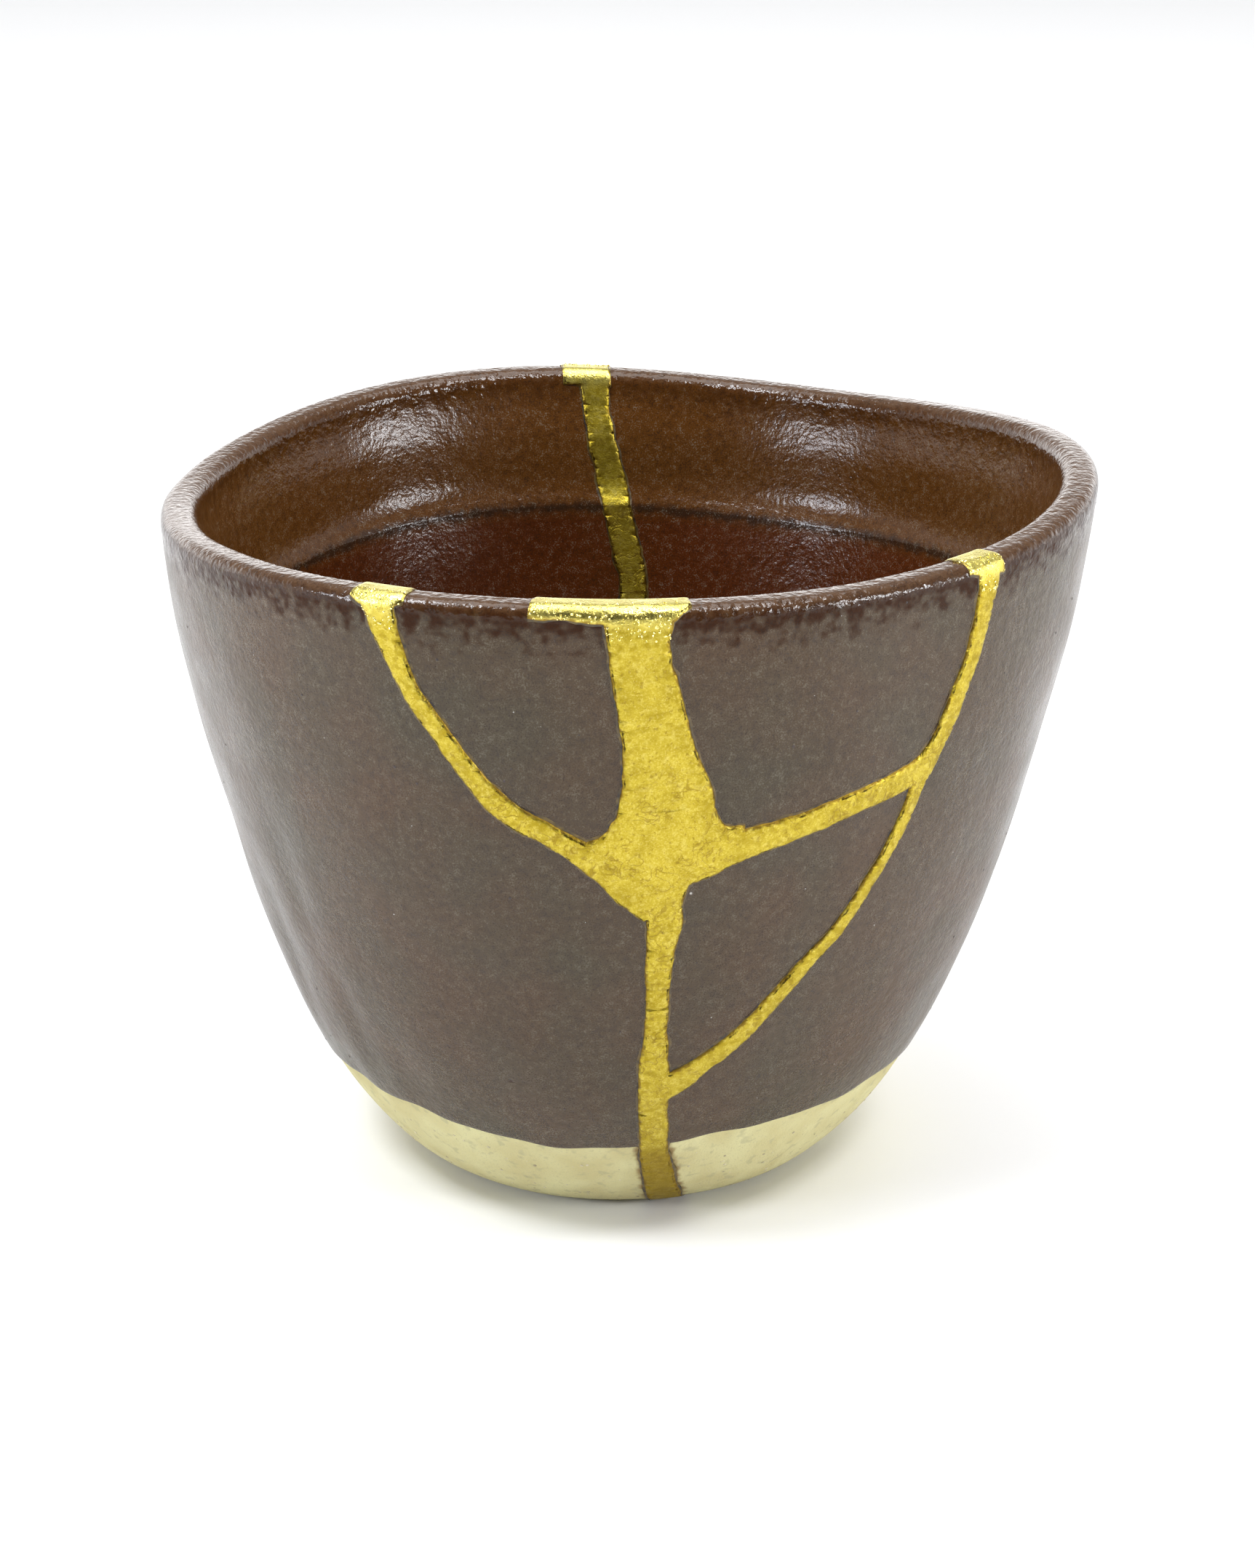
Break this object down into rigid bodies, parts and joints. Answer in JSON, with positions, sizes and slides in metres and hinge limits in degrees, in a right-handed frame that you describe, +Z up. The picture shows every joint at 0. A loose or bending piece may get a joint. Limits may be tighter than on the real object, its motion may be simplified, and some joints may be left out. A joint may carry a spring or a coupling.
{
  "type": "kintsugi tea cup",
  "caption": "Handleless stoneware tea cup, broken and mended with raised gold lacquer seams, with a round lip and a flat foot.",
  "frame": {"origin": "on the surface the cup stands on, under the middle of the rim", "axes": "+Z up out of the cup's mouth; -Y towards the front, where the wide gold fill is"},
  "size_m": [0.0875, 0.0894, 0.0679],
  "materials": {
    "left_glaze": "satin grey-brown stoneware glaze with a fine speckle, bare cream clay round the foot",
    "right_glaze": "satin grey-brown stoneware glaze with a fine speckle, bare cream clay round the foot",
    "rim_glaze": "satin grey-brown stoneware glaze with a fine speckle",
    "gold": "satin gold dust on lacquer, a little uneven, with thin dark lacquer edges"
  },
  "bodies": {
    "root": {"left_half": "left_glaze", "right_half": "right_glaze", "rim_shard_left": "rim_glaze", "rim_shard_right": "rim_glaze", "lower_shard": "rim_glaze", "gold_seams": "gold"}
  },
  "joints": []
}
